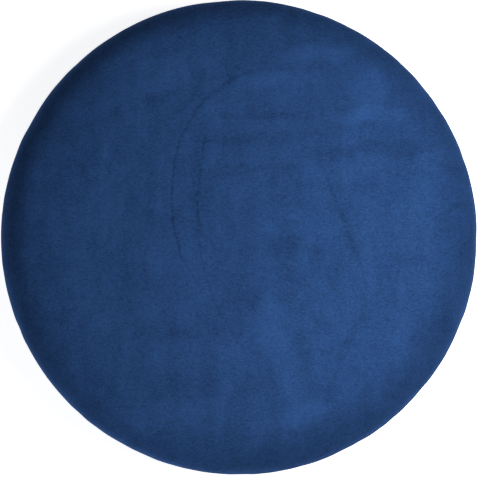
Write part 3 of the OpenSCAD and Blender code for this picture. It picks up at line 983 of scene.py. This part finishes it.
def local_curve_mesh(outlines, thickness, bevel):
    """Vertices and faces of a bevelled plate with holes, drawn in a plane, with its middle at height 0."""
    curve = bpy.data.curves.new("outline", "CURVE")
    curve.dimensions = "2D"
    curve.fill_mode = "BOTH"
    curve.extrude = thickness / 2 - bevel
    curve.bevel_depth = bevel
    curve.bevel_resolution = 2
    curve.offset = -bevel
    for line in outlines:
        spline = curve.splines.new("POLY")
        spline.points.add(len(line) - 1)
        for p, (x, y) in zip(spline.points, line):
            p.co = (x, y, 0, 1)
        spline.use_cyclic_u = True
    ob = bpy.data.objects.new("outline", curve)
    scene.collection.objects.link(ob)
    mesh = bpy.data.meshes.new_from_object(ob.evaluated_get(bpy.context.evaluated_depsgraph_get()))
    bm = bmesh.new()
    bm.from_mesh(mesh)
    bmesh.ops.remove_doubles(bm, verts=bm.verts, dist=1e-6)
    bm.verts.index_update()
    verts = np.array([v.co[:] for v in bm.verts])
    faces = [tuple(v.index for v in f.verts) for f in bm.faces]
    bm.free()
    bpy.data.objects.remove(ob)
    bpy.data.curves.remove(curve)
    bpy.data.meshes.remove(mesh)
    return verts, faces


def rounded(points, radius, steps=5):
    """A polygon with its corners rounded off."""
    out = []
    n = len(points)
    for i in range(n):
        p, a, b = (np.array(points[k % n], float) for k in (i, i - 1, i + 1))
        u, v = a - p, b - p
        reach = min(radius, np.linalg.norm(u) * 0.45, np.linalg.norm(v) * 0.45)
        start, end = p + u / np.linalg.norm(u) * reach, p + v / np.linalg.norm(v) * reach
        for t in np.linspace(0, 1, steps + 1):
            out.append(tuple((1 - t) ** 2 * start + 2 * t * (1 - t) * p + t * t * end))
    return out


def oblong(x0, x1, y0, y1):
    return [(x0, y0), (x1, y0), (x1, y1), (x0, y1)]


def circle(x, y, r, steps, start=0.0, turn=TAU):
    angles = [start + turn * i / steps for i in range(steps)]
    return [(x + r * math.cos(a), y + r * math.sin(a)) for a in angles]


def gathered(parts):
    """Several (vertices, faces) in one."""
    verts, faces, n = [], [], 0
    for v, f in parts:
        verts.append(v)
        faces += [tuple(i + n for i in face) for face in f]
        n += len(v)
    return np.vstack(verts), faces


def swept_bar(path, width, thickness):
    """A bar of rounded rectangular section along a path in the local out-and-along plane, across z."""
    path = np.asarray(path, float)
    t = np.gradient(path, axis=0)
    t /= np.linalg.norm(t, axis=1)[:, None]
    normal = np.c_[-t[:, 1], t[:, 0]]
    section = oblong(-thickness / 2, thickness / 2, -width / 2, width / 2)
    ring = rounded(section, 0.3 * thickness, 3)
    verts = [(p[0] + n[0] * a, p[1] + n[1] * a, b) for p, n in zip(path, normal) for a, b in ring]
    return np.array(verts), tube_faces(len(path), len(ring))


# Slider: two bevelled plates with flanges, a post between them and a bail over the pull's crossbar
SLIDER_L, SLIDER_W = 11 * MM, 4.3 * MM
# Room between the slider and the tapes and coils, and how far its parts run into one another
CLEAR, SUNK = 0.35 * MM, 0.4 * MM
PLATE_IN = BAND_IN + COIL_H + CLEAR
PLATE_T, INNER_T = 1.0 * MM, 0.9 * MM
PLATE_OUT = PLATE_IN + PLATE_T
INNER_OUT = BAND_IN - TAPE_T - CLEAR
BAIL_IN, BAIL_T, BAIL_W, BAIL_L = PIVOT_R + 0.85 * MM, 0.6 * MM, 2 * MM, 7 * MM
corners = [(-0.5, -0.7), (-0.38, -1), (0.2, -1), (0.5, -0.8), (0.5, 0.8), (0.2, 1), (-0.38, 1), (-0.5, 0.7)]
plan = rounded([(SLIDER_L * x, SLIDER_W * y) for x, y in corners], 1.2 * MM)


def plate(outlines, middle_r, thickness, bevel):
    """A bevelled plate drawn along the zip and up, lying at a radius."""
    v, f = local_curve_mesh(outlines, thickness, bevel)
    return np.c_[v[:, 2] + middle_r, v[:, 0], v[:, 1]], f


parts = [
    plate([plan], PLATE_IN + PLATE_T / 2, PLATE_T, 0.3 * MM),
    plate([plan], INNER_OUT - INNER_T / 2, INNER_T, 0.25 * MM),
]
flange_in, flange_out = BAND_IN + CLEAR, PLATE_IN + SUNK
for side in (-1, 1):
    z0 = side * (SLIDER_W - 0.6 * MM)
    outline = oblong(-SLIDER_L * 0.35, SLIDER_L * 0.15, z0 - 0.58 * MM, z0 + 0.58 * MM)
    middle_r = (flange_in + flange_out) / 2
    parts.append(plate([rounded(outline, 0.4 * MM)], middle_r, flange_out - flange_in, 0.12 * MM))
post_from, post_to = -SLIDER_L / 2 + 0.8 * MM, -SLIDER_L / 2 + 3.2 * MM
post = [(post_from, -0.28 * MM), (post_to, -0.22 * MM), (post_to, 0.22 * MM), (post_from, 0.28 * MM)]
post_h = PLATE_IN - INNER_OUT + 2 * SUNK
parts.append(plate([rounded(post, 0.2 * MM)], (INNER_OUT + PLATE_IN) / 2, post_h, 0.08 * MM))
leg_y = BAIL_L / 2 - BAIL_T / 2
top_r = BAIL_IN + BAIL_T / 2
bend = 1.0 * MM
quarter = np.linspace(0, math.pi / 2, 7)
path = [(PLATE_OUT - SUNK, -leg_y), (PLATE_OUT + 0.2 * MM, -leg_y)]
path += [(top_r - bend + bend * math.sin(a), -leg_y + bend - bend * math.cos(a)) for a in quarter]
path += [(top_r, y) for y in np.linspace(-leg_y + bend, leg_y - bend, 5)[1:-1]]
path += [(top_r - bend + bend * math.cos(a), leg_y - bend + bend * math.sin(a)) for a in quarter]
path += [(PLATE_OUT + 0.2 * MM, leg_y), (PLATE_OUT - SUNK, leg_y)]
parts.append(swept_bar(path, BAIL_W, BAIL_T))
verts, faces = gathered(parts)
slider = new_piece("zip_slider_body", to_band(verts, SLIDER_AT), faces, METAL, "slider")
stands_for(slider, "zip_metal", "zip_slider")

# Pull: a tapered tab with a slot for the bail, a round end and a hole
PULL_L, PULL_T, PULL_W, END_R, HOLE_R = 20 * MM, 1.0 * MM, 5 * MM, 3.5 * MM, 1.6 * MM
end_at = PULL_L - END_R
slot_end = math.hypot(BAIL_L / 2, BAIL_IN + BAIL_T - PIVOT_R) + 0.3 * MM
slot_half = (BAIL_W + 0.5 * MM) / 2
ROUND_TO = 1.45  # radians either way to which the round end runs
straight = [
    (0.0, -slot_half), (0.0, -PULL_W / 2 + 0.2 * MM), (0.2 * MM, -PULL_W / 2),
    (end_at - 0.3 * MM, -END_R * 0.97),
]
corner = [
    (slot_end - 0.5 * MM, slot_half), (slot_end - 0.15 * MM, slot_half - 0.15 * MM),
    (slot_end, slot_half - 0.5 * MM),
]
outline = straight + circle(end_at, 0, END_R, 28, -ROUND_TO, 2 * ROUND_TO)
outline += [(end_at + END_R * math.cos(ROUND_TO), END_R * math.sin(ROUND_TO))]
outline += [(x, -y) for x, y in straight[::-1]] + corner + [(x, -y) for x, y in corner[::-1]]
parts = [plate([outline, circle(end_at, 0, HOLE_R, 28)[::-1]], PIVOT_R, PULL_T, 0.22 * MM)]
bar_z = np.linspace(-PULL_W / 2, PULL_W / 2, 9)
bar_a = np.arange(16) * TAU / 16
bar_r = 0.6 * MM * np.array([0.7, 0.95, 1, 1, 1, 1, 1, 0.95, 0.7])
bar = [(PIVOT_R + r * math.cos(a), r * math.sin(a), z) for z, r in zip(bar_z, bar_r) for a in bar_a]
parts.append((np.array(bar), tube_faces(len(bar_z), len(bar_a))))
verts, faces = gathered(parts)
pull = new_piece("zip_pull", to_band(verts, SLIDER_AT), faces, METAL, "pull")
stands_for(pull, "zip_metal", "zip_pull_tab")

# Stops, pressed over the ends of the coils
STOP_T = 2.2 * MM


def clip(at, length, z_low, z_high):
    """A stop across the zip, dented along its middle."""
    outline = rounded(oblong(-length / 2, length / 2, z_low, z_high), 0.5 * MM)
    v, f = plate([outline], BAND_IN + STOP_T / 2, STOP_T, 0.3 * MM)
    outer = v[:, 0] > BAND_IN + STOP_T * 0.6
    v[:, 0] -= 0.35 * MM * np.exp(-((v[:, 1] / (0.5 * MM)) ** 2)) * outer
    return to_band(v, at), f


parts = [clip(TOP_STOP, 2.3 * MM, *z) for z in ((0.7 * MM, 2.3 * MM), (-2.3 * MM, -0.7 * MM))]
verts, faces = gathered(parts)
stands_for(new_piece("zip_stops_top", verts, faces, STOP_METAL), "zip_metal", "zip_top_stops")
verts, faces = clip(CHAIN_TO + 2 * MM / BAND_R, 3.9 * MM, -2.3 * MM, 2.3 * MM)
stands_for(new_piece("zip_stop_bottom", verts, faces, STOP_METAL), "zip_metal", "zip_bottom_stop")

# ---------------- label, liner, wadding and foam

GAP = 0.06 * MM
rows = ZIP_Z + np.linspace(7.2, -7.2, 9) * MM
label_half = 12.9 * MM / BAND_R
label = shell(
    "care_label_blank", upright(BAND_IN - 0.03 * MM, rows), upright(BAND_IN - 0.28 * MM, rows),
    angles_between(-math.pi / 2 - label_half, -math.pi / 2 + label_half, 1.5 * MM), LABEL,
)
stands_for(label, "label_cloth", "care_label")


def settled(verts):
    """The pad's layers share one slow unevenness, so that they stay against each other."""
    lift = ripple(verts[:, :2], 80 * MM, 31) * 0.35 * MM
    share = smooth(verts[:, 2], FOAM_IN, FOAM_SPLIT_Z)
    out = verts.copy()
    inside = smooth(EDGE_C[0] + 6 * MM - np.hypot(verts[:, 0], verts[:, 1]), 0, 30 * MM)
    out[:, 2] -= (abs(lift) + 0.05 * MM) * share * inside
    return out


def layer(name, section, material, slot, node):
    piece = solid_of_revolution(name, section, material, shape=settled)
    stands_for(piece, slot, node)


def slab(r, z_low, z_high):
    return join(across(r, z_low), across(r, z_high)[::-1])


side_in = PAD_R - LINER_T
CAP_IN = VELVET_T + GAP
section = join(
    crown(CAP_IN), edge(CAP_IN, CROWN_END, edge_at_r(CAP_IN, PAD_R)), foot(PAD_R, CAP_IN, PAD_FOOT_R),
    foot(side_in, LINER_IN, PAD_FOOT_R - LINER_T)[::-1],
    edge(LINER_IN, CROWN_END, edge_at_r(LINER_IN, side_in))[::-1], crown(LINER_IN)[::-1],
)
layer("pad_liner_cap", section, CALICO, "liner_cloth", "liner_cap")
section = slab(PAD_R - PAD_FOOT_R - GAP, CAP_IN, LINER_IN)
layer("pad_liner_base", section, CALICO, "liner_cloth", "liner_base")

outside, inside = LINER_IN + GAP, FOAM_IN - GAP
section = join(
    crown(outside), edge(outside, CROWN_END, 0), edge(inside, CROWN_END, 0)[::-1], crown(inside)[::-1],
)
layer("wadding_top", section, FIBRE, "polyester_wadding", "top_wadding")
side_from = -0.002
section = join(
    edge(outside, side_from, edge_at_r(outside, side_in - GAP)),
    foot(side_in - GAP, outside, PAD_FOOT_R - LINER_T), [(FOAM_SIDE_R + GAP, outside)],
    edge(inside, side_from, edge_at_r(inside, FOAM_SIDE_R + GAP))[::-1],
)
layer("wadding_side", section, FIBRE, "polyester_wadding", "side_wadding")
section = slab(FOAM_SIDE_R, outside, inside)
layer("wadding_base", section, FIBRE, "polyester_wadding", "base_wadding")

split = edge_at_z(FOAM_IN, FOAM_SPLIT_Z)
corner = EDGE_C[0] + (EDGE_R - FOAM_IN) * math.cos(split)
section = join(
    crown(FOAM_IN), edge(FOAM_IN, CROWN_END, split), across(corner, FOAM_SPLIT_Z + GAP, 0.999)[::-1],
)
layer("foam_soft", section, SOFT_FOAM, "soft_foam", "soft_foam_layer")
section = join(
    across(corner, FOAM_SPLIT_Z, 0.999), edge(FOAM_IN, split, edge_at_r(FOAM_IN, FOAM_SIDE_R)),
    across(FOAM_SIDE_R, FOAM_IN)[::-1],
)
layer("foam_firm", section, FIRM_FOAM, "firm_foam", "firm_foam_core")

# ---------------- floor, light and camera

floor_mesh = bpy.data.meshes.new("floor")
floor_mesh.from_pydata([(-4, -4, 0), (4, -4, 0), (4, 4, 0), (-4, 4, 0)], [], [(0, 1, 2, 3)])
floor = bpy.data.objects.new("floor", floor_mesh)
scene.collection.objects.link(floor)
floor_look = Look("pale floor", Roughness=0.9, Specular_IOR_Level=0.1)
tone = floor_look.noise(3, 3)
floor_look.colour(floor_look.ramp(tone, (0.3, (0.86, 0.86, 0.86)), (0.7, (0.89, 0.89, 0.89))))
floor_look.shader.inputs["Emission Color"].default_value = (1, 1, 1, 1)
floor_look.shader.inputs["Emission Strength"].default_value = 0.86
floor_mesh.materials.append(floor_look.material)

world = bpy.data.worlds.new("studio")
scene.world = world
world.use_nodes = True
world.node_tree.nodes["Background"].inputs["Color"].default_value = (1, 1, 1, 1)
world.node_tree.nodes["Background"].inputs["Strength"].default_value = 0.03


LAMPS_AIM = (0, 0, 0.05)


def lamp(name, place, size, power):
    data = bpy.data.lights.new(name, "AREA")
    data.shape, data.size, data.energy = "DISK", size, power
    ob = bpy.data.objects.new(name, data)
    scene.collection.objects.link(ob)
    ob.location = place
    ob.rotation_mode = "QUATERNION"
    ob.rotation_quaternion = (Vector(LAMPS_AIM) - Vector(place)).to_track_quat("-Z", "Y")
    ob.visible_camera = False


def from_side(azimuth, elevation, distance):
    """A lamp's place, by its turn about Z from +X and its height above the floor, in degrees."""
    a, e = math.radians(azimuth), math.radians(elevation)
    return (
        distance * math.cos(e) * math.cos(a), distance * math.cos(e) * math.sin(a),
        distance * math.sin(e) + 40 * MM,
    )


lamp("key", from_side(-9, 55, 0.6), 0.5, 4.6)
lamp("left fill", from_side(180, 16, 1.2), 0.6, 1.3)
lamp("front", from_side(-104, 6, 1.2), 0.6, 5.0)

camera_data = bpy.data.cameras.new("camera")
camera_data.lens, camera_data.sensor_width = 210, 36
camera_data.clip_start, camera_data.clip_end = 0.05, 50
camera = bpy.data.objects.new("camera", camera_data)
scene.collection.objects.link(camera)
ELEVATION = math.radians(85)
DISTANCE = 2.359
aim = Vector((0.8 * MM, -3.1 * MM, EDGE_C[1]))
back = Vector((0, -math.cos(ELEVATION), math.sin(ELEVATION)))
camera.location = aim + back * DISTANCE
camera.rotation_mode = "QUATERNION"
camera.rotation_quaternion = (-back).to_track_quat("-Z", "Y")
scene.camera = camera
scene.view_settings.view_transform = "Standard"
